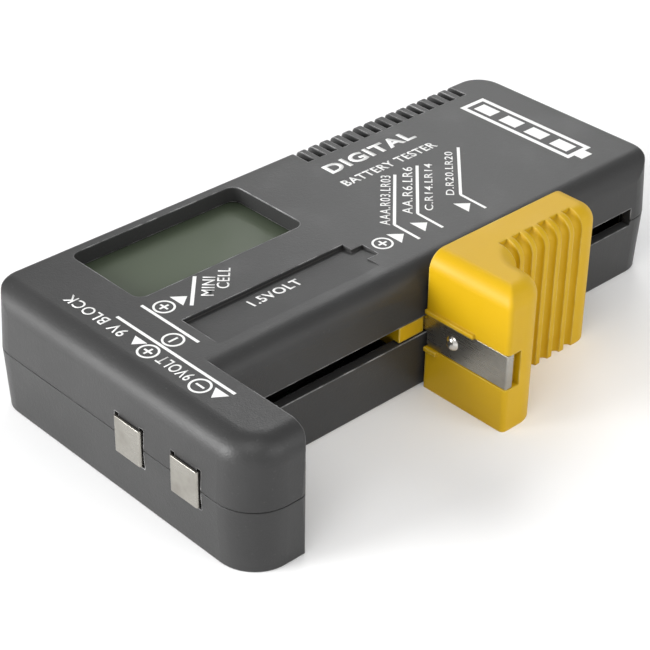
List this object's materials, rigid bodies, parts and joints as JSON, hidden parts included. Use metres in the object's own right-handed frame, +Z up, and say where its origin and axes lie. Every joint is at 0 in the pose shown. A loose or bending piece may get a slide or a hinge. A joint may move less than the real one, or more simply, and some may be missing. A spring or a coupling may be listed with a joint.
{
  "type": "battery tester",
  "caption": "Handheld battery tester with a display window, a foot contact and a sliding contact arm that close on a cell, and stud contacts in its end.",
  "frame": {"origin": "middle of the footprint, on the resting face", "axes": "+X along the case from the end with the 9 V contacts to the plain end, +Y to the ribbed long side, +Z up out of the display face"},
  "size_m": [0.1108, 0.0618, 0.025],
  "materials": {
    "housing": "fine matte, moulded ABS",
    "slide_plastic": "satin, moulded ABS",
    "display_glass": "polished, with a polariser film",
    "display_back": "grey-green reflective liquid crystal display",
    "frame_plastic": "matte black",
    "zebra_rubber": "striped silicone rubber",
    "board_laminate": "solder mask",
    "resin": "cast epoxy",
    "resistor_body": "lacquered film resistor",
    "ferrite": "sintered ferrite with copper winding",
    "capacitor_sleeve": "shrunk sleeve",
    "screw_steel": "zinc-plated",
    "nickel_strip": "nickel-plated spring steel",
    "nickel_rivet": "nickel-plated, polished head",
    "brass_rivet": "turned",
    "red_wire": "PVC insulation",
    "black_wire": "PVC insulation"
  },
  "bodies": {
    "case": {"top_shell": "housing", "bottom_shell": "housing", "case_screws": "screw_steel", "display_front_glass": "display_glass", "display_rear_glass": "display_back", "display_frame": "frame_plastic", "zebra_connector": "zebra_rubber", "circuit_board": "board_laminate", "chip_cover": "resin", "load_resistors": "resistor_body", "boost_inductor": "ferrite", "capacitors": "capacitor_sleeve", "board_screws": "screw_steel", "stud_contact_plus": "nickel_strip", "stud_contact_minus": "nickel_strip", "foot_contact": "nickel_strip", "foot_rivet": "nickel_rivet", "foot_tag": "nickel_strip", "contact_rail": "nickel_strip", "rail_rivets": "brass_rivet", "wire_stud_plus": "red_wire", "wire_stud_minus": "black_wire", "wire_foot": "black_wire", "wire_rail": "red_wire"},
    "slide": {"slide_handle": "slide_plastic", "slide_carriage": "slide_plastic", "slide_contact": "nickel_strip", "slide_rivet": "nickel_rivet", "slide_wiper": "nickel_strip", "slide_screws": "screw_steel"}
  },
  "joints": [
    {"name": "slide_travel", "type": "slide", "parent": "case", "child": "slide", "axis": [1, 0, 0], "range_m": [-0.0405, 0.021]}
  ]
}
